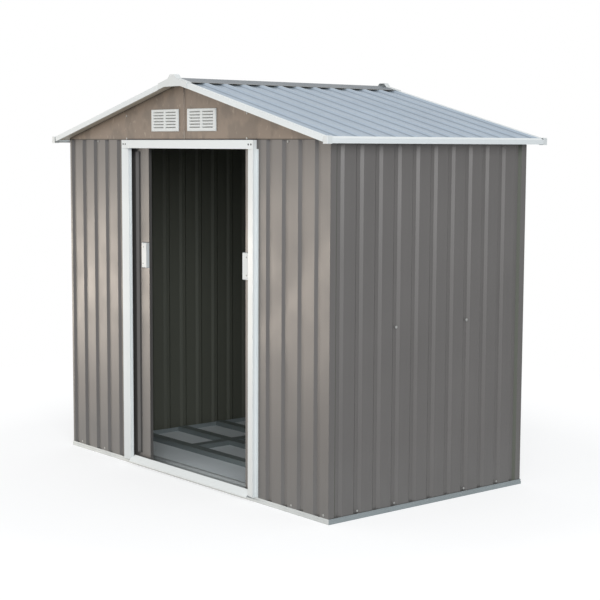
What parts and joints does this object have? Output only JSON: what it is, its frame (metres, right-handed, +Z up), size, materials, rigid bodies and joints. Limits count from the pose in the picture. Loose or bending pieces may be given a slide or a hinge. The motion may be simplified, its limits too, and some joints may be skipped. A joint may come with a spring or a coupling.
{
  "type": "metal storage shed",
  "caption": "Ribbed sheet-metal storage shed with an apex roof, louvred gable vents and two sliding doors.",
  "frame": {"origin": "on the ground at the centre of the footprint", "axes": "+X to the right along the gabled front, +Y from the front to the back, +Z up"},
  "size_m": [2.13, 1.3, 1.8525],
  "materials": {
    "wall_paint": "satin",
    "roof_paint": "satin",
    "trim_white": "satin",
    "plastic_white": "matte",
    "galvanised": "satin"
  },
  "bodies": {
    "shed": {"back_gable_left": "wall_paint", "back_gable_right": "wall_paint", "back_rake_trims": "trim_white", "back_vents": "plastic_white", "back_wall_left": "wall_paint", "back_wall_right": "wall_paint", "bottom_track": "galvanised", "corner_posts": "galvanised", "cross_bars": "galvanised", "eave_corner_caps": "plastic_white", "eave_trims": "trim_white", "floor_rail_back": "galvanised", "floor_rail_front": "galvanised", "floor_rail_left": "galvanised", "floor_rail_right": "galvanised", "front_gable_left": "wall_paint", "front_gable_right": "wall_paint", "front_rake_trims": "trim_white", "front_vents": "plastic_white", "front_wall_left": "wall_paint", "front_wall_right": "wall_paint", "header": "trim_white", "jamb_left": "trim_white", "jamb_right": "trim_white", "joists": "galvanised", "left_wall": "wall_paint", "ridge_beam": "galvanised", "ridge_cap": "roof_paint", "ridge_ends": "plastic_white", "right_wall": "wall_paint", "roof_left": "roof_paint", "roof_right": "roof_paint", "sill": "trim_white", "top_rails": "galvanised", "top_track": "galvanised", "track_lips": "galvanised"},
    "left_door": {"left_door_frame": "wall_paint", "left_door_handle": "plastic_white", "left_door_hangers": "plastic_white", "left_door_panel": "wall_paint"},
    "right_door": {"right_door_frame": "wall_paint", "right_door_handle": "plastic_white", "right_door_hangers": "plastic_white", "right_door_panel": "wall_paint"}
  },
  "joints": [
    {"name": "left_door_slide", "type": "slide", "parent": "shed", "child": "left_door", "axis": [1, 0, 0], "range_m": [-0.063, 0.3405]},
    {"name": "right_door_slide", "type": "slide", "parent": "shed", "child": "right_door", "axis": [-1, 0, 0], "range_m": [-0.002, 0.4035]}
  ]
}
